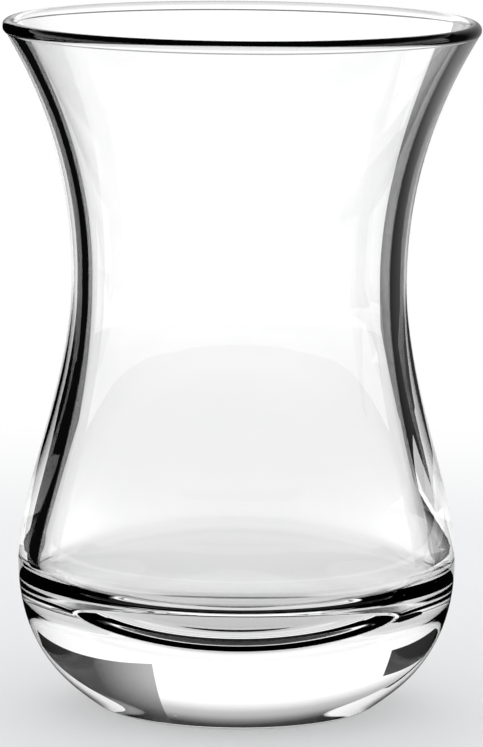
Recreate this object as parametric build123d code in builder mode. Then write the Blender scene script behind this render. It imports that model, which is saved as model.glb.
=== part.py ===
"""A waisted tea glass with a thick bottom: one piece of clear glass, in millimetres, +Z up.

The origin is the middle of the foot, at the height of the surface that the glass stands on.
The whole glass is one outline turned about the Z axis. The outer wall passes through four
sections: the foot, the bulb, the waist and the lip. It is upright at the bulb and at the
waist, and one curve joins each section to the next. The inner wall has the same sections,
each a wall's thickness further in, and draws in below the bulb to a round bowl high above
the foot, which leaves the bottom of the glass thick.
"""

import os
from math import cos, radians, sin, sqrt

from build123d import *

os.makedirs("parts", exist_ok=True)

# The outer wall: the height and the outer radius of each section
height = 86.0
rim_radius = 29.7
waist_height = 53.7
waist_radius = 20.9
bulb_height = 18.8
bulb_radius = 27.4
foot_radius = 16.1  # of the flat ring, before its rounded edge
foot_edge = 3.0  # radius of that edge
foot_slope = 36.0  # degrees above the table, just past the edge

# How far each curve of the wall holds the direction of its sections, as a share of its rise
foot_hold, bulb_lower_hold = 0.23, 0.64
bulb_upper_hold, waist_lower_hold = 0.23, 0.37
waist_upper_hold, lip_hold = 0.29, 0.43

# The lip: a round bead that stands a little proud of both faces of the wall below it
lip_bead = 1.8
bead_step = 0.03
neck_fillet = 0.8  # where the bead flows into the wall
lip_slope = 30.5  # degrees from upright

# The wall's thickness at the waist and at the widest place of the bowl
waist_wall = 2.1
bowl_wall = 2.7

# The bowl: the inside of the glass, from the waist down to its floor
bowl_drop = 0.3  # of its widest place, below the widest place of the outside
floor_height = 10.2
inner_waist_hold, bowl_upper_hold = 0.43, 0.12
bowl_side_hold, bowl_floor_hold = 0.45, 0.55

# The underside: a shallow dome inside the flat ring that the glass stands on
ring_width = 1.9
dome_rise = 0.4

# Directions: up, along the flaring wall at the lip, and across that wall
upright = Vector(0, 1)
along_lip = Vector(sin(radians(lip_slope)), cos(radians(lip_slope)))
across_lip = Vector(cos(radians(lip_slope)), -sin(radians(lip_slope)))
along_foot = Vector(cos(radians(foot_slope)), sin(radians(foot_slope)))

# The sections, as points of the outline: distance from the axis, then height
bulb = Vector(bulb_radius, bulb_height)
waist = Vector(waist_radius, waist_height)
inner_waist = waist - Vector(waist_wall, 0)
bowl = Vector(bulb_radius - bowl_wall, bulb_height - bowl_drop)
floor = Vector(0, floor_height)

# The bead's centre, and where the neck's fillet leaves the wall and meets the bead
bead_radius = lip_bead / 2
half_wall = bead_radius - bead_step
bead = Vector(rim_radius - bead_radius, height - bead_radius)
fillet_across = half_wall + neck_fillet
fillet_drop = sqrt((bead_radius + neck_fillet) ** 2 - fillet_across**2)
bead_share = bead_radius / (bead_radius + neck_fillet)
outer_neck = bead + across_lip * half_wall - along_lip * fillet_drop
inner_neck = bead - across_lip * half_wall - along_lip * fillet_drop
outer_bead = bead + (across_lip * fillet_across - along_lip * fillet_drop) * bead_share
inner_bead = bead - (across_lip * fillet_across + along_lip * fillet_drop) * bead_share

with BuildPart() as glass:
    with BuildSketch(Plane.XZ):
        with BuildLine():
            # The underside, from the axis out to the foot
            dome = TangentArc((0, dome_rise), (foot_radius - ring_width, 0), tangent=(1, 0))
            ring = Line(dome @ 1, (foot_radius, 0))
            edge = JernArc(start=ring @ 1, tangent=(1, 0), radius=foot_edge, arc_size=foot_slope)
            foot = edge @ 1
            # The outside, from the foot up
            foot_rise = bulb.Y - foot.Y
            Bezier(
                foot,
                foot + along_foot * foot_rise * foot_hold,
                bulb - upright * foot_rise * bulb_lower_hold,
                bulb,
            )
            body_rise = waist.Y - bulb.Y
            Bezier(
                bulb,
                bulb + upright * body_rise * bulb_upper_hold,
                waist - upright * body_rise * waist_lower_hold,
                waist,
            )
            neck_rise = outer_neck.Y - waist.Y
            Bezier(
                waist,
                waist + upright * neck_rise * waist_upper_hold,
                outer_neck - along_lip * neck_rise * lip_hold,
                outer_neck,
            )
            # The lip, from the outside over the bead to the inside
            TangentArc(outer_neck, outer_bead, tangent=along_lip)
            ThreePointArc(outer_bead, bead + along_lip * bead_radius, inner_bead)
            TangentArc(inner_neck, inner_bead, tangent=along_lip)
            # The inside, from the lip down
            inner_neck_rise = inner_neck.Y - inner_waist.Y
            Bezier(
                inner_neck,
                inner_neck - along_lip * inner_neck_rise * lip_hold,
                inner_waist + upright * inner_neck_rise * waist_upper_hold,
                inner_waist,
            )
            inner_body_rise = inner_waist.Y - bowl.Y
            Bezier(
                inner_waist,
                inner_waist - upright * inner_body_rise * inner_waist_hold,
                bowl + upright * inner_body_rise * bowl_upper_hold,
                bowl,
            )
            bowl_rise = bowl.Y - floor.Y
            Bezier(
                bowl,
                bowl - upright * bowl_rise * bowl_side_hold,
                floor + Vector(bowl.X * bowl_floor_hold, 0),
                floor,
            )
            Line(floor, dome @ 0)
        make_face()
    revolve(axis=Axis.Z)

glass.part.label = "glass"
export_step(glass.part, "parts/glass.step")
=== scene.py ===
"""A small clear tea glass with a waist, standing empty in a white studio."""

import math

import bpy
from mathutils import Matrix, Vector


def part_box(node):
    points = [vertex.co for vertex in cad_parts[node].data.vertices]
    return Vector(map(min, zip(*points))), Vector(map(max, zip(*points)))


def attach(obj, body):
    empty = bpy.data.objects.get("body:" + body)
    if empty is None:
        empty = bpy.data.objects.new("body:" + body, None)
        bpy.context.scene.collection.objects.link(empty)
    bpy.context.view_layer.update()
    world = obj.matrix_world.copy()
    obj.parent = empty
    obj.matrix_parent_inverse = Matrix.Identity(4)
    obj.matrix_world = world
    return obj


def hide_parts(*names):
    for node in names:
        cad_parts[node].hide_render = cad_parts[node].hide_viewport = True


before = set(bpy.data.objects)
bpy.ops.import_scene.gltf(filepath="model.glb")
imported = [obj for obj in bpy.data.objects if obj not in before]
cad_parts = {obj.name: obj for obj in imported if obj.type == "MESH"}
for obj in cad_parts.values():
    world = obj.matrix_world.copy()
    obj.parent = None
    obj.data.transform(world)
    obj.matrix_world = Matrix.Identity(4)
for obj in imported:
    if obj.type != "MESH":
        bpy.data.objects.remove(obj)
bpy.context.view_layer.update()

# ---------------------------------------------------------------------------
# The glass: one piece of clear soda-lime glass, pressed thick at the bottom and drawn out thin
# to the lip, whose cut edge a flame melted into a round bead.
# ---------------------------------------------------------------------------

MM = 0.001
_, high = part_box("glass")
HEIGHT = high.z
RIM_RADIUS = high.x

# The sections of the outer wall, from the foot, a flat ring with a rounded edge, up to the lip
FOOT_RADIUS = 16.1 * MM
FOOT_EDGE = 3.0 * MM
FOOT_SLOPE = math.radians(36)
BULB_RADIUS, BULB_HEIGHT = 27.4 * MM, 18.8 * MM
WAIST_RADIUS, WAIST_HEIGHT = 20.9 * MM, 53.7 * MM
LIP_SLOPE = math.radians(30.5)

# How far each curve of the wall holds the direction of its sections
FOOT_HOLD, BULB_LOWER_HOLD = 0.23, 0.64
BULB_UPPER_HOLD, WAIST_LOWER_HOLD = 0.23, 0.37
WAIST_UPPER_HOLD, LIP_HOLD = 0.29, 0.43

# The lip's bead, and the fillet where it flows into the wall
BEAD_RADIUS = 0.9 * MM
BEAD_STEP = 0.03 * MM
NECK_FILLET = 0.8 * MM

# The inner wall, and the round bowl whose widest place is a little below the bulb's
WAIST_WALL = 2.1 * MM
BOWL_WALL = 2.7 * MM
BOWL_DROP = 0.3 * MM
BOWL_HEIGHT = BULB_HEIGHT - BOWL_DROP
FLOOR_HEIGHT = 10.2 * MM
INNER_WAIST_HOLD, BOWL_UPPER_HOLD = 0.43, 0.12
BOWL_SIDE_HOLD, BOWL_FLOOR_HOLD = 0.45, 0.55

# The underside: a shallow dome inside the flat ring that the glass stands on
RING_WIDTH = 1.9 * MM
RING_REACH = 0.5 * MM  # of the two handles on the ring's straight run
DOME_RADIUS = FOOT_RADIUS - RING_WIDTH
DOME_RISE = 0.4 * MM

# How finely the skin follows its outline: curves in an arc, steps in a curve, steps round
SHORT_ARC, BEAD_ARC = 1, 3
STEPS_IN_CURVE = 24
STEPS_ROUND = 288
SEAM_GAP = 0.001 * MM  # points nearer than this are one point

# The finish: how glass bends light, then the ripple's depth, its waves and their stretch
GLASS_IOR = 1.52
RIPPLE_DEPTH = 0.03 * MM
RIPPLE_SCALE, RIPPLE_DETAIL = 60, 1.5
RIPPLE_STRETCH = (1, 1, 0.45)

# A seed's depth and shade, the cells of the pattern, a seed's rim and heart as shares of a
# cell, the share of cells with none, and the heights between which the seeds die out
SEED_DEPTH = 0.10 * MM
SEED_SHADE = (0.55, 0.56, 0.58, 1)
SEED_CELLS = 150
SEED_RIM, SEED_HEART = 0.05, 0.02
SEEDLESS_SHARE = 0.55
SEEDS_END, SEEDS_FULL = 24 * MM, 18 * MM

# The film: its dullness, its shade beside clean glass, and how it lies in patches
FILM_ROUGHNESS = 0.012
CLEAN_GLASS = (1.0, 1.0, 1.0, 1)
FILMED_GLASS = (0.972, 0.976, 0.98, 1)
FILM_SCALE, FILM_DETAIL, FILM_BREAKUP = 85, 4, 0.6
FILM_START, FILM_FULL = 0.48, 0.72

# The outline, as cubic curves between points given as (distance from the axis, height)
UP = Vector((0, 1))
OUT = Vector((1, 0))
RIGHT_ANGLE = math.pi / 2


def turned(angle):
    """The direction at this angle above the table."""
    return Vector((math.cos(angle), math.sin(angle)))


def arc(centre, radius, start, sweep, pieces):
    """A circular arc as cubic curves: the points with their handles on each side."""
    step = sweep / pieces
    reach = 4 / 3 * math.tan(step / 4) * radius
    points = []
    for i in range(pieces + 1):
        radial = turned(start + step * i)
        tangent = Vector((-radial.y, radial.x)) * reach
        point = centre + radial * radius
        points.append((point - tangent, point, point + tangent))
    return points


def joined(runs):
    """One list of points from runs that meet end to start."""
    points = []
    for run in runs:
        if points:
            before, point, _ = points.pop()
            points.append((before, point, run[0][2]))
            run = run[1:]
        points.extend(run)
    return points


def curve(start, start_reach, end, end_reach):
    """One cubic curve, given by how far it heads out of its start and into its end."""
    return [(start, start, start + start_reach), (end - end_reach, end, end)]


# The lip: directions along and across its wall, its bead, and the fillet under each side
ALONG_LIP = turned(RIGHT_ANGLE - LIP_SLOPE)
ACROSS_LIP = Vector((ALONG_LIP.y, -ALONG_LIP.x))
BEAD = Vector((RIM_RADIUS - BEAD_RADIUS, HEIGHT - BEAD_RADIUS))
half_wall = BEAD_RADIUS - BEAD_STEP
fillet_across = half_wall + NECK_FILLET
fillet_drop = math.sqrt((BEAD_RADIUS + NECK_FILLET) ** 2 - fillet_across**2)
bead_turn = RIGHT_ANGLE - math.atan2(fillet_across, fillet_drop)
outer_neck = BEAD + ACROSS_LIP * half_wall - ALONG_LIP * fillet_drop
inner_neck = BEAD - ACROSS_LIP * half_wall - ALONG_LIP * fillet_drop
outer_fillet = BEAD + ACROSS_LIP * fillet_across - ALONG_LIP * fillet_drop
inner_fillet = BEAD - ACROSS_LIP * fillet_across - ALONG_LIP * fillet_drop

# The other sections, from the axis out to the foot and up, then down the inside
dome_top = Vector((0, DOME_RISE))
dome_edge = Vector((DOME_RADIUS, 0))
ring_edge = Vector((FOOT_RADIUS, 0))
edge_run = arc(ring_edge + UP * FOOT_EDGE, FOOT_EDGE, -RIGHT_ANGLE, FOOT_SLOPE, SHORT_ARC)
foot = edge_run[-1][1]
bulb = Vector((BULB_RADIUS, BULB_HEIGHT))
waist = Vector((WAIST_RADIUS, WAIST_HEIGHT))
inner_waist = waist - OUT * WAIST_WALL
bowl = Vector((BULB_RADIUS - BOWL_WALL, BOWL_HEIGHT))
bowl_floor = Vector((0, FLOOR_HEIGHT))

foot_rise = bulb.y - foot.y
body_rise = waist.y - bulb.y
neck_rise = outer_neck.y - waist.y
inner_neck_rise = inner_neck.y - waist.y
inner_body_rise = waist.y - bowl.y
bowl_rise = bowl.y - bowl_floor.y

outline = joined(
    [
        curve(
            dome_top,
            OUT * DOME_RADIUS / 3,
            dome_edge,
            (OUT * DOME_RADIUS - UP * 2 * DOME_RISE) / 3,
        ),
        curve(dome_edge, OUT * RING_REACH, ring_edge, OUT * RING_REACH),
        edge_run,
        curve(
            foot,
            turned(FOOT_SLOPE) * foot_rise * FOOT_HOLD,
            bulb,
            UP * foot_rise * BULB_LOWER_HOLD,
        ),
        curve(
            bulb,
            UP * body_rise * BULB_UPPER_HOLD,
            waist,
            UP * body_rise * WAIST_LOWER_HOLD,
        ),
        curve(
            waist,
            UP * neck_rise * WAIST_UPPER_HOLD,
            outer_neck,
            ALONG_LIP * neck_rise * LIP_HOLD,
        ),
        arc(outer_fillet, NECK_FILLET, math.pi - LIP_SLOPE, -bead_turn, SHORT_ARC),
        arc(BEAD, BEAD_RADIUS, -LIP_SLOPE - bead_turn, math.pi + 2 * bead_turn, BEAD_ARC),
        arc(inner_fillet, NECK_FILLET, bead_turn - LIP_SLOPE, -bead_turn, SHORT_ARC),
        curve(
            inner_neck,
            -ALONG_LIP * inner_neck_rise * LIP_HOLD,
            inner_waist,
            -UP * inner_neck_rise * WAIST_UPPER_HOLD,
        ),
        curve(
            inner_waist,
            -UP * inner_body_rise * INNER_WAIST_HOLD,
            bowl,
            -UP * inner_body_rise * BOWL_UPPER_HOLD,
        ),
        curve(
            bowl,
            -UP * bowl_rise * BOWL_SIDE_HOLD,
            bowl_floor,
            -OUT * bowl.x * BOWL_FLOOR_HOLD,
        ),
    ]
)

outline_curve = bpy.data.curves.new("glass_outline", "CURVE")
outline_curve.dimensions = "3D"
outline_curve.resolution_u = STEPS_IN_CURVE
spline = outline_curve.splines.new("BEZIER")
spline.bezier_points.add(len(outline) - 1)
for bezier_point, (before, point, after) in zip(spline.bezier_points, outline):
    bezier_point.handle_left_type = bezier_point.handle_right_type = "FREE"
    bezier_point.handle_left = (before.x, 0, before.y)
    bezier_point.co = (point.x, 0, point.y)
    bezier_point.handle_right = (after.x, 0, after.y)
outline_object = bpy.data.objects.new("glass_outline", outline_curve)
bpy.context.scene.collection.objects.link(outline_object)


def node(tree, kind, **settings):
    """A new node of this kind in the tree, with these settings."""
    made = tree.nodes.new(kind)
    for name, value in settings.items():
        setattr(made, name, value)
    return made


# The sockets of a Mix node: the share of the second, two colours, two numbers, what comes out
SHARE, COLOUR_A, COLOUR_B, MIXED_COLOUR = 0, 6, 7, 2
NUMBER_A, NUMBER_B, MIXED_NUMBER = 2, 3, 0

# The finish: clear glass whose skin keeps a faint ripple from the mould and the flame, a few
# seeds (tiny bubbles) in the thick bottom, and a thin film where fingers and water dried
clear_glass = bpy.data.materials.new("clear_glass")
clear_glass.use_nodes = True
finish = clear_glass.node_tree
shader = finish.nodes["Principled BSDF"]
shader.inputs["IOR"].default_value = GLASS_IOR
shader.inputs["Transmission Weight"].default_value = 1.0
place = node(finish, "ShaderNodeTexCoord")
height_of = node(finish, "ShaderNodeSeparateXYZ")
finish.links.new(place.outputs["Object"], height_of.inputs[0])

# Ripple: long soft waves round the wall, with a finer unevenness over them
stretched = node(finish, "ShaderNodeMapping")
stretched.inputs["Scale"].default_value = RIPPLE_STRETCH
finish.links.new(place.outputs["Object"], stretched.inputs["Vector"])
waves = node(finish, "ShaderNodeTexNoise")
waves.inputs["Scale"].default_value = RIPPLE_SCALE
waves.inputs["Detail"].default_value = RIPPLE_DETAIL
finish.links.new(stretched.outputs[0], waves.inputs["Vector"])
ripple = node(finish, "ShaderNodeBump")
ripple.inputs["Strength"].default_value = 1.0
ripple.inputs["Distance"].default_value = RIPPLE_DEPTH
finish.links.new(waves.outputs["Fac"], ripple.inputs["Height"])

# Seeds: one in a few cells of a cell pattern, and only in the thick bottom
cells = node(finish, "ShaderNodeTexVoronoi", feature="F1")
cells.inputs["Scale"].default_value = SEED_CELLS
finish.links.new(place.outputs["Object"], cells.inputs["Vector"])
seed_shape = node(finish, "ShaderNodeMapRange", interpolation_type="SMOOTHSTEP")
seed_shape.inputs["From Min"].default_value = SEED_RIM
seed_shape.inputs["From Max"].default_value = SEED_HEART
finish.links.new(cells.outputs["Distance"], seed_shape.inputs["Value"])
chance = node(finish, "ShaderNodeSeparateColor")
finish.links.new(cells.outputs["Color"], chance.inputs[0])
chosen = node(finish, "ShaderNodeMath", operation="GREATER_THAN")
chosen.inputs[1].default_value = SEEDLESS_SHARE
finish.links.new(chance.outputs[0], chosen.inputs[0])
low_down = node(finish, "ShaderNodeMapRange")
low_down.inputs["From Min"].default_value = SEEDS_END
low_down.inputs["From Max"].default_value = SEEDS_FULL
finish.links.new(height_of.outputs["Z"], low_down.inputs["Value"])
seeds_low = node(finish, "ShaderNodeMath", operation="MULTIPLY")
finish.links.new(seed_shape.outputs[0], seeds_low.inputs[0])
finish.links.new(chosen.outputs[0], seeds_low.inputs[1])
seeds = node(finish, "ShaderNodeMath", operation="MULTIPLY")
finish.links.new(seeds_low.outputs[0], seeds.inputs[0])
finish.links.new(low_down.outputs[0], seeds.inputs[1])
seeded = node(finish, "ShaderNodeBump", invert=True)
seeded.inputs["Strength"].default_value = 1.0
seeded.inputs["Distance"].default_value = SEED_DEPTH
finish.links.new(seeds.outputs[0], seeded.inputs["Height"])
finish.links.new(ripple.outputs[0], seeded.inputs["Normal"])
finish.links.new(seeded.outputs[0], shader.inputs["Normal"])

# Film: in soft patches, a hair duller and greyer than the clean skin
patches = node(finish, "ShaderNodeTexNoise")
patches.inputs["Scale"].default_value = FILM_SCALE
patches.inputs["Detail"].default_value = FILM_DETAIL
patches.inputs["Roughness"].default_value = FILM_BREAKUP
finish.links.new(place.outputs["Object"], patches.inputs["Vector"])
film = node(finish, "ShaderNodeMapRange")
film.inputs["From Min"].default_value = FILM_START
film.inputs["From Max"].default_value = FILM_FULL
finish.links.new(patches.outputs["Fac"], film.inputs["Value"])
dullness = node(finish, "ShaderNodeMapRange")
dullness.inputs["To Max"].default_value = FILM_ROUGHNESS
finish.links.new(film.outputs[0], dullness.inputs["Value"])
finish.links.new(dullness.outputs[0], shader.inputs["Roughness"])
tint = node(finish, "ShaderNodeMix", data_type="RGBA")
tint.inputs[COLOUR_A].default_value = CLEAN_GLASS
tint.inputs[COLOUR_B].default_value = FILMED_GLASS
finish.links.new(film.outputs[0], tint.inputs[SHARE])
tint_seeds = node(finish, "ShaderNodeMix", data_type="RGBA")
tint_seeds.inputs[COLOUR_B].default_value = SEED_SHADE
finish.links.new(seeds.outputs[0], tint_seeds.inputs[SHARE])
finish.links.new(tint.outputs[MIXED_COLOUR], tint_seeds.inputs[COLOUR_A])
finish.links.new(tint_seeds.outputs[MIXED_COLOUR], shader.inputs["Base Color"])

# A tree that turns an outline about the Z axis into a closed skin. It lays the outline down as
# the columns of a grid, one more than the steps round, and the last one closes on the first.
turn = bpy.data.node_groups.new("turn_about_axis", "GeometryNodeTree")
turn.interface.new_socket("Outline", in_out="INPUT", socket_type="NodeSocketGeometry")
steps_socket = turn.interface.new_socket(
    "Steps Round", in_out="INPUT", socket_type="NodeSocketInt"
)
finish_socket = turn.interface.new_socket(
    "Finish", in_out="INPUT", socket_type="NodeSocketMaterial"
)
turn.interface.new_socket("Skin", in_out="OUTPUT", socket_type="NodeSocketGeometry")
sizes = node(turn, "NodeGroupInput")
skin_out = node(turn, "NodeGroupOutput")
points = node(turn, "GeometryNodeCurveToMesh")
turn.links.new(sizes.outputs["Outline"], points.inputs["Curve"])
count = node(turn, "GeometryNodeAttributeDomainSize", component="MESH")
turn.links.new(points.outputs["Mesh"], count.inputs["Geometry"])
columns = node(turn, "FunctionNodeIntegerMath", operation="ADD")
turn.links.new(sizes.outputs["Steps Round"], columns.inputs[0])
columns.inputs[1].default_value = 1  # the column that closes the round
grid = node(turn, "GeometryNodeMeshGrid")
turn.links.new(columns.outputs[0], grid.inputs["Vertices X"])
turn.links.new(count.outputs["Point Count"], grid.inputs["Vertices Y"])
index = node(turn, "GeometryNodeInputIndex")
row = node(turn, "FunctionNodeIntegerMath", operation="MODULO")
turn.links.new(index.outputs[0], row.inputs[0])
turn.links.new(count.outputs["Point Count"], row.inputs[1])
column = node(turn, "FunctionNodeIntegerMath", operation="DIVIDE_FLOOR")
turn.links.new(index.outputs[0], column.inputs[0])
turn.links.new(count.outputs["Point Count"], column.inputs[1])
position = node(turn, "GeometryNodeInputPosition")
on_outline = node(turn, "GeometryNodeSampleIndex", data_type="FLOAT_VECTOR", domain="POINT")
turn.links.new(points.outputs["Mesh"], on_outline.inputs["Geometry"])
turn.links.new(position.outputs[0], on_outline.inputs["Value"])
turn.links.new(row.outputs[0], on_outline.inputs["Index"])
share = node(turn, "ShaderNodeMath", operation="DIVIDE")
turn.links.new(column.outputs[0], share.inputs[0])
turn.links.new(sizes.outputs["Steps Round"], share.inputs[1])
angle = node(turn, "ShaderNodeMath", operation="MULTIPLY")
turn.links.new(share.outputs[0], angle.inputs[0])
angle.inputs[1].default_value = 2 * math.pi
rotated = node(turn, "ShaderNodeVectorRotate", rotation_type="Z_AXIS")
turn.links.new(on_outline.outputs[0], rotated.inputs["Vector"])
turn.links.new(angle.outputs[0], rotated.inputs["Angle"])
placed = node(turn, "GeometryNodeSetPosition")
turn.links.new(grid.outputs["Mesh"], placed.inputs["Geometry"])
turn.links.new(rotated.outputs[0], placed.inputs["Position"])
closed = node(turn, "GeometryNodeMergeByDistance")
closed.inputs["Distance"].default_value = SEAM_GAP
turn.links.new(placed.outputs[0], closed.inputs[0])
smooth = node(turn, "GeometryNodeSetShadeSmooth")
turn.links.new(closed.outputs[0], smooth.inputs[0])
realized = node(turn, "GeometryNodeRealizeInstances")
turn.links.new(smooth.outputs[0], realized.inputs[0])
finished = node(turn, "GeometryNodeSetMaterial")
turn.links.new(realized.outputs[0], finished.inputs["Geometry"])
turn.links.new(sizes.outputs["Finish"], finished.inputs["Material"])
turn.links.new(finished.outputs[0], skin_out.inputs[0])

turning = outline_object.modifiers.new("turn", "NODES")
turning.node_group = turn
turning[steps_socket.identifier] = STEPS_ROUND
turning[finish_socket.identifier] = clear_glass
evaluated = outline_object.evaluated_get(bpy.context.evaluated_depsgraph_get())
glass_mesh = bpy.data.meshes.new_from_object(evaluated)
bpy.data.objects.remove(outline_object)
glass = bpy.data.objects.new("glass_body", glass_mesh)
bpy.context.scene.collection.objects.link(glass)
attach(glass, "root")
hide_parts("glass")

# ---------------------------------------------------------------------------
# The table: a wide sheet of matt white card with a faint grain. It is a shade off white round the
# glass, where the glass's shadow lies on it, lightened there by a painted glow, and runs into the
# white room further off. The glass shows it as a glowing sheet with painted light and shade:
# darker near the foot, where the dark stands for the shadow under the glass, and brighter further
# off.
# ---------------------------------------------------------------------------

TABLE_HALF = 3.0
# A hair below the foot, because glass touches what it stands on only here and there
TABLE_HEIGHT = -0.1 * MM
TABLE_WHITE = (0.862, 0.872, 0.888, 1)
GRAIN_SHADE = 0.985  # of the card's white, where its grain is darkest
GRAIN_SCALE, GRAIN_DETAIL = 900, 3
SHEET_ROUGHNESS, SHEET_SPECULAR = 0.9, 0.2
# The lit card runs into the room's plain white between these distances from the glass
SHADED_REACH = 0.115
BRIGHT_REACH = 0.235
PLAIN_WHITE = 1.0
# Painted light: a glow of plain white that the card gives out even near the glass, which lightens
# the glass's shadow on it
PAINTED_FILL_GLOW = 0.3  # the share of plain white that the card has even near the glass
# How bright the glass shows the table, as a glow with painted light and shade, darker near the
# foot for the shadow under the glass: distance from its middle, then a share of the brightest
PAINTED_GLOW_IN_GLASS = 1.18
SEEN_REACH = 0.4
PAINTED_SHADES_IN_GLASS = [
    (0.007, 0.51),
    (0.021, 0.53),
    (0.029, 0.72),
    (0.034, 0.79),
    (0.038, 0.75),
    (0.041, 0.65),
    (0.046, 0.63),
    (0.06, 0.67),
    (0.15, 0.72),
    (0.175, 0.75),
    (0.21, 0.81),
    (0.25, 0.89),
    (0.32, 0.97),
    (0.4, 1.0),
]

scene = bpy.context.scene


def flat_piece(name, corners):
    """One flat face on these corners, kept out of the object itself."""
    mesh = bpy.data.meshes.new(name)
    mesh.from_pydata(corners, [], [tuple(range(len(corners)))])
    made = bpy.data.objects.new(name, mesh)
    scene.collection.objects.link(made)
    return made


table = flat_piece(
    "table",
    [
        (-TABLE_HALF, -TABLE_HALF, TABLE_HEIGHT),
        (TABLE_HALF, -TABLE_HALF, TABLE_HEIGHT),
        (TABLE_HALF, TABLE_HALF, TABLE_HEIGHT),
        (-TABLE_HALF, TABLE_HALF, TABLE_HEIGHT),
    ],
)
white_card = bpy.data.materials.new("white_card")
white_card.use_nodes = True
sheet = white_card.node_tree
paper = sheet.nodes["Principled BSDF"]
paper.inputs["Roughness"].default_value = SHEET_ROUGHNESS
paper.inputs["Specular IOR Level"].default_value = SHEET_SPECULAR
spot = node(sheet, "ShaderNodeTexCoord")
grain = node(sheet, "ShaderNodeTexNoise")
grain.inputs["Scale"].default_value = GRAIN_SCALE
grain.inputs["Detail"].default_value = GRAIN_DETAIL
sheet.links.new(spot.outputs["Object"], grain.inputs["Vector"])
paper_shade = node(sheet, "ShaderNodeMix", data_type="RGBA")
grain_white = [GRAIN_SHADE * part for part in TABLE_WHITE[:3]]
paper_shade.inputs[COLOUR_A].default_value = TABLE_WHITE
paper_shade.inputs[COLOUR_B].default_value = (*grain_white, 1)
sheet.links.new(grain.outputs["Fac"], paper_shade.inputs[SHARE])
sheet.links.new(paper_shade.outputs[MIXED_COLOUR], paper.inputs["Base Color"])

# What the eye sees plainly: the lit card with a painted glow that lightens the glass's shadow
# even near the glass, and more of the plain white further off
from_glass = node(sheet, "ShaderNodeVectorMath", operation="LENGTH")
sheet.links.new(spot.outputs["Object"], from_glass.inputs[0])
far_off = node(sheet, "ShaderNodeMapRange", interpolation_type="SMOOTHSTEP")
far_off.inputs["From Min"].default_value = SHADED_REACH
far_off.inputs["From Max"].default_value = BRIGHT_REACH
far_off.inputs["To Min"].default_value = PAINTED_FILL_GLOW
sheet.links.new(from_glass.outputs["Value"], far_off.inputs["Value"])
rays = node(sheet, "ShaderNodeLightPath")
in_glass = node(sheet, "ShaderNodeMath", operation="MAXIMUM")
sheet.links.new(rays.outputs["Is Transmission Ray"], in_glass.inputs[0])
sheet.links.new(rays.outputs["Is Glossy Ray"], in_glass.inputs[1])
seen_plainly = node(sheet, "ShaderNodeMath", operation="MULTIPLY")
sheet.links.new(rays.outputs["Is Camera Ray"], seen_plainly.inputs[0])
sheet.links.new(far_off.outputs[0], seen_plainly.inputs[1])
seen_bright = node(sheet, "ShaderNodeMath", operation="MAXIMUM")
sheet.links.new(in_glass.outputs[0], seen_bright.inputs[0])
sheet.links.new(seen_plainly.outputs[0], seen_bright.inputs[1])

# What the glass shows of it: a glow with painted shade at each distance, darker near the foot,
# where it stands for the shadow under the glass, and brighter further off
reach_share = node(sheet, "ShaderNodeMath", operation="DIVIDE")
sheet.links.new(from_glass.outputs["Value"], reach_share.inputs[0])
reach_share.inputs[1].default_value = SEEN_REACH
painted_shades_out = node(sheet, "ShaderNodeValToRGB")
painted_shades_out.color_ramp.interpolation = "B_SPLINE"
shade_stops = painted_shades_out.color_ramp.elements
shade_stops[0].position = PAINTED_SHADES_IN_GLASS[0][0] / SEEN_REACH
shade_stops[1].position = PAINTED_SHADES_IN_GLASS[-1][0] / SEEN_REACH
for distance, _ in PAINTED_SHADES_IN_GLASS[1:-1]:
    shade_stops.new(distance / SEEN_REACH)
for stop, (_, grey) in zip(shade_stops, PAINTED_SHADES_IN_GLASS):
    stop.color = (grey, grey, grey, 1)
sheet.links.new(reach_share.outputs[0], painted_shades_out.inputs[0])
painted_glow_colour = node(sheet, "ShaderNodeMix", data_type="RGBA")
painted_glow_colour.inputs[COLOUR_A].default_value = (1, 1, 1, 1)
sheet.links.new(in_glass.outputs[0], painted_glow_colour.inputs[SHARE])
sheet.links.new(painted_shades_out.outputs[0], painted_glow_colour.inputs[COLOUR_B])
strength = node(sheet, "ShaderNodeMix", data_type="FLOAT")
strength.inputs[NUMBER_A].default_value = PLAIN_WHITE
strength.inputs[NUMBER_B].default_value = PAINTED_GLOW_IN_GLASS
sheet.links.new(in_glass.outputs[0], strength.inputs[SHARE])
glow = node(sheet, "ShaderNodeEmission")
sheet.links.new(painted_glow_colour.outputs[MIXED_COLOUR], glow.inputs["Color"])
sheet.links.new(strength.outputs[MIXED_NUMBER], glow.inputs["Strength"])
either = node(sheet, "ShaderNodeMixShader")
sheet.links.new(seen_bright.outputs[0], either.inputs[0])
sheet.links.new(paper.outputs[0], either.inputs[1])
sheet.links.new(glow.outputs[0], either.inputs[2])
sheet.links.new(either.outputs[0], sheet.nodes["Material Output"].inputs["Surface"])
table.data.materials.append(white_card)

# ---------------------------------------------------------------------------
# The studio round it: white to the eye and plain light to the table. The glass shows a lit band
# low down all round, and dark above that, which draws the dark lines of its rim and of its
# thick bottom.
# ---------------------------------------------------------------------------

BAND_STRENGTH = 1.2
# Height of a direction (the sine of its angle above the table) and its brightness
BAND = [
    (0.0, 0.02),
    (0.018, 0.12),
    (0.035, 0.28),
    (0.07, 0.42),
    (0.087, 0.55),
    (0.122, 0.82),
    (0.156, 1.0),
    (0.375, 1.0),
    (0.407, 0.75),
    (0.438, 0.5),
    (0.47, 0.4),
    (0.5, 0.2),
    (0.53, 0.04),
    (0.6, 0.015),
]
ROOM_LIGHT = 0.9  # the plain light that the table gets

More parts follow.
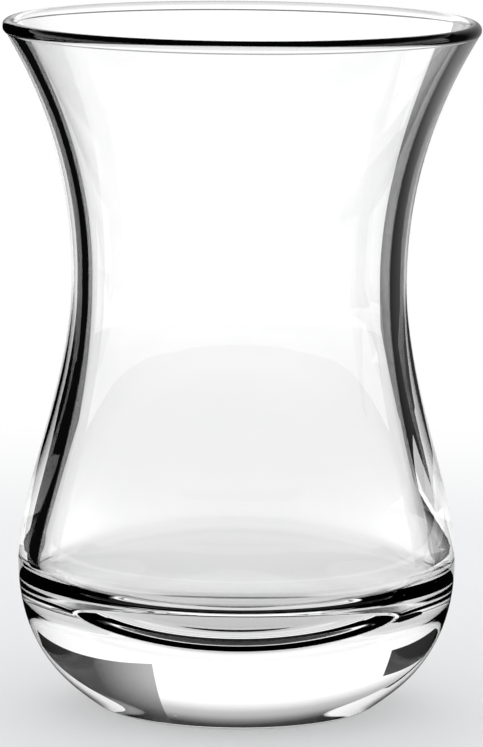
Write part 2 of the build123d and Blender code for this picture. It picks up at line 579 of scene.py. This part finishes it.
studio = bpy.data.worlds.new("studio")
scene.world = studio
studio.use_nodes = True
walls = studio.node_tree
room = walls.nodes["Background"]
room.inputs["Color"].default_value = (1, 1, 1, 1)
towards = node(walls, "ShaderNodeTexCoord")
upward = node(walls, "ShaderNodeSeparateXYZ")
walls.links.new(towards.outputs["Generated"], upward.inputs[0])
band = node(walls, "ShaderNodeValToRGB")
stops = band.color_ramp.elements
stops[0].position = BAND[0][0]
stops[1].position = BAND[-1][0]
for position, _ in BAND[1:-1]:
    stops.new(position)
for stop, (_, grey) in zip(stops, BAND):
    stop.color = (grey, grey, grey, 1)
walls.links.new(upward.outputs["Z"], band.inputs[0])
band_light = node(walls, "ShaderNodeBackground")
band_light.inputs["Strength"].default_value = BAND_STRENGTH
walls.links.new(band.outputs[0], band_light.inputs["Color"])
looks = node(walls, "ShaderNodeLightPath")
plain_level = node(walls, "ShaderNodeMix", data_type="FLOAT")
plain_level.inputs[NUMBER_A].default_value = ROOM_LIGHT
plain_level.inputs[NUMBER_B].default_value = PLAIN_WHITE
walls.links.new(looks.outputs["Is Camera Ray"], plain_level.inputs[SHARE])
walls.links.new(plain_level.outputs[MIXED_NUMBER], room.inputs["Strength"])
glass_looks = node(walls, "ShaderNodeMath", operation="MAXIMUM")
walls.links.new(looks.outputs["Is Transmission Ray"], glass_looks.inputs[0])
walls.links.new(looks.outputs["Is Glossy Ray"], glass_looks.inputs[1])
# What lights the table through the glass is the room's plain light: its rays have left a
# matt surface once or more
not_for_table = node(walls, "ShaderNodeMath", operation="LESS_THAN")
walls.links.new(looks.outputs["Diffuse Depth"], not_for_table.inputs[0])
not_for_table.inputs[1].default_value = 0.5  # between none and once
for_eye = node(walls, "ShaderNodeMath", operation="MULTIPLY")
walls.links.new(glass_looks.outputs[0], for_eye.inputs[0])
walls.links.new(not_for_table.outputs[0], for_eye.inputs[1])
seen = node(walls, "ShaderNodeMixShader")
walls.links.new(for_eye.outputs[0], seen.inputs[0])
walls.links.new(room.outputs[0], seen.inputs[1])
walls.links.new(band_light.outputs[0], seen.inputs[2])
walls.links.new(seen.outputs[0], walls.nodes["World Output"].inputs["Surface"])

# ---------------------------------------------------------------------------
# The lamp: one wide soft box high behind the glass, a little to the left, whose soft shadow
# falls to the front. Only the table takes its light: the glass doesn't show it.
# ---------------------------------------------------------------------------

LAMP_PLACE = Vector((-0.10, 0.75, 0.75))
LAMP_SIZE = 0.7
LAMP_POWER = 1.2

soft_box = bpy.data.lights.new("soft_box", "AREA")
soft_box.shape = "SQUARE"
soft_box.size = LAMP_SIZE
soft_box.energy = LAMP_POWER
lamp = bpy.data.objects.new("soft_box", soft_box)
lamp_turn = LAMP_PLACE.to_track_quat("Z", "Y").to_matrix().to_4x4()
lamp.matrix_world = Matrix.Translation(LAMP_PLACE) @ lamp_turn
lamp.visible_camera = False
lamp.visible_glossy = False
lamp.visible_transmission = False
scene.collection.objects.link(lamp)

# ---------------------------------------------------------------------------
# The camera: a long lens two thirds of a metre in front of the glass, looking down at it a
# little, and leaning by half a degree.
# ---------------------------------------------------------------------------

LENS, SENSOR_WIDTH = 268.53, 36  # millimetres
CAMERA_PLACE = Vector((0, -0.688, 0.1456))
LOOK_DOWN, LOOK_ASIDE, LEAN = math.radians(8.58), math.radians(-0.032), math.radians(0.58)

lens = bpy.data.cameras.new("camera")
lens.sensor_width = SENSOR_WIDTH
lens.lens = LENS
camera = bpy.data.objects.new("camera", lens)
camera.matrix_world = (
    Matrix.Translation(CAMERA_PLACE)
    @ Matrix.Rotation(LOOK_ASIDE, 4, "Z")
    @ Matrix.Rotation(RIGHT_ANGLE - LOOK_DOWN, 4, "X")
    @ Matrix.Rotation(LEAN, 4, "Z")
)
scene.collection.objects.link(camera)
scene.camera = camera

# ---------------------------------------------------------------------------
# The cards: boards from black to white that only the glass shows, standing and hanging behind
# it and lying round it. They draw the dark bands inside its outline and in its thick bottom.
# They are on an arm that turns with the camera, as when a glass is shot on a turntable.
# ---------------------------------------------------------------------------

# Shades of the plain boards, as the light that each sends out
BLACK, NEAR_BLACK, CHARCOAL, DARK_GREY = 0.003, 0.01, 0.03, 0.04
BEHIND = 0.043  # how far behind the glass's axis the two cards beside it stand
MAT_HEIGHT = 0
LOW_MAT_HEIGHT = -0.05 * MM  # of a mat with another one on it

arm = bpy.data.objects.new("card_arm", None)
scene.collection.objects.link(arm)
turned_with = arm.constraints.new("COPY_ROTATION")
turned_with.target = camera
turned_with.use_x = False
turned_with.use_y = False


def standing(corners, back):
    """Corners given as (across, up), all this far back."""
    return [(across, back, up) for across, up in corners]


def lying(corners, height):
    """Corners given as (across, back), all at this height."""
    return [(across, back, height) for across, back in corners]


def card(name, corners, shades, reach=(0, 1), rise=(0, 1), top=1.0):
    """A board that only glass shows: it shades across over its reach, and up its rise."""
    board = flat_piece(name, corners)
    board.parent = arm
    board.visible_camera = False
    board.visible_diffuse = False
    board.visible_shadow = False
    cloth = bpy.data.materials.new(name)
    cloth.use_nodes = True
    tree = cloth.node_tree
    tree.nodes.remove(tree.nodes["Principled BSDF"])
    where = node(tree, "ShaderNodeTexCoord")
    split = node(tree, "ShaderNodeSeparateXYZ")
    tree.links.new(where.outputs["Object"], split.inputs[0])
    sideways = node(tree, "ShaderNodeMapRange")
    sideways.inputs["From Min"].default_value = reach[0]
    sideways.inputs["From Max"].default_value = reach[1]
    sideways.inputs["To Min"].default_value = shades[0]
    sideways.inputs["To Max"].default_value = shades[1]
    tree.links.new(split.outputs["X"], sideways.inputs["Value"])
    upwards = node(tree, "ShaderNodeMapRange", interpolation_type="SMOOTHSTEP")
    upwards.inputs["From Min"].default_value = rise[0]
    upwards.inputs["From Max"].default_value = rise[1]
    upwards.inputs["To Min"].default_value = 1.0
    upwards.inputs["To Max"].default_value = top
    tree.links.new(split.outputs["Z"], upwards.inputs["Value"])
    both = node(tree, "ShaderNodeMath", operation="MULTIPLY")
    tree.links.new(sideways.outputs[0], both.inputs[0])
    tree.links.new(upwards.outputs[0], both.inputs[1])
    shade = node(tree, "ShaderNodeEmission")
    tree.links.new(both.outputs[0], shade.inputs["Color"])
    tree.links.new(shade.outputs[0], tree.nodes["Material Output"].inputs["Surface"])
    board.data.materials.append(cloth)
    return board


# Beside the glass: a black card on the left, and on the right one that pales towards its top
card(
    "left_card",
    standing(
        [
            (-0.042, 0.12),
            (-0.038, 0.05),
            (-0.038, 0.028),
            (-0.05, 0.0215),
            (-0.0515, 0.0145),
            (-0.0535, 0),
            (-0.14, 0),
            (-0.14, 0.12),
        ],
        BEHIND,
    ),
    shades=(BLACK, BLACK),
)
card(
    "left_flag",
    [(-0.18, 0.262, 0.087), (-0.277, 0.129, 0.087), (-0.277, 0.129, 0.134), (-0.18, 0.262, 0.13)],
    shades=(DARK_GREY, DARK_GREY),
)
card(
    "right_card",
    [(0.106, 0.386, 0.101), (0.42, 0.208, 0.147), (0.42, 0.208, 0.3), (0.106, 0.386, 0.3)],
    shades=(0.5, DARK_GREY),
    reach=(0.106, 0.205),
    rise=(0.115, 0.25),
    top=0.15,
)
card(
    "right_wall_card",
    standing(
        [
            (0.0315, 0.12),
            (0.031, 0.04),
            (0.036, 0.034),
            (0.042, 0.029),
            (0.14, 0.027),
            (0.14, 0.12),
        ],
        BEHIND,
    ),
    shades=(0.08, 0.005),
    reach=(0.031, 0.08),
    rise=(0.045, 0.078),
    top=4.8,
)

# On the table: a black mat on the left, dark ones on the right and a pale one beyond them
card(
    "left_mat",
    lying(
        [
            (-0.047, 0.098),
            (-0.07, 0.09),
            (-0.2, 0.09),
            (-0.2, 0.15),
            (-0.09, 0.13),
            (-0.058, 0.118),
        ],
        MAT_HEIGHT,
    ),
    shades=(BLACK, BLACK),
)
card(
    "right_near_mat",
    lying(
        [
            (0.052, 0.098),
            (0.06, 0.115),
            (0.095, 0.16),
            (0.19, 0.3),
            (0.25, 0.2),
            (0.139, 0.149),
            (0.139, 0.09),
            (0.07, 0.09),
        ],
        MAT_HEIGHT,
    ),
    shades=(CHARCOAL, CHARCOAL),
)
card(
    "right_mat",
    lying([(0.14, -0.05), (0.5, -0.05), (0.5, 0.2), (0.14, 0.15)], MAT_HEIGHT),
    shades=(NEAR_BLACK, NEAR_BLACK),
)
card(
    "right_far_mat",
    lying([(0.06, 0.215), (0.5, 0.8), (0.75, 0.8), (0.35, 0.25)], LOW_MAT_HEIGHT),
    shades=(1.15, 0.7),
    reach=(0.06, 0.2),
)

# In front: a black mat that the glass's face shows and that isn't seen through the glass. Where
# it runs in under the foot it is painted shade, standing for the shadow under the glass in its
# reflections.
front_mat = card(
    "front_mat",
    lying([(-0.6, -0.9), (0.6, -0.9), (0.6, 0.08), (-0.6, 0.08)], LOW_MAT_HEIGHT),
    shades=(BLACK, BLACK),
)
front_mat.visible_transmission = False

# ---------------------------------------------------------------------------
# The picture: light passes through and round the thick bottom many times over before it
# leaves, and every shade comes out as it is written.
# ---------------------------------------------------------------------------

BOUNCES = 24

scene.cycles.max_bounces = BOUNCES
scene.cycles.transmission_bounces = BOUNCES
scene.cycles.transparent_max_bounces = BOUNCES
scene.view_settings.view_transform = "Standard"
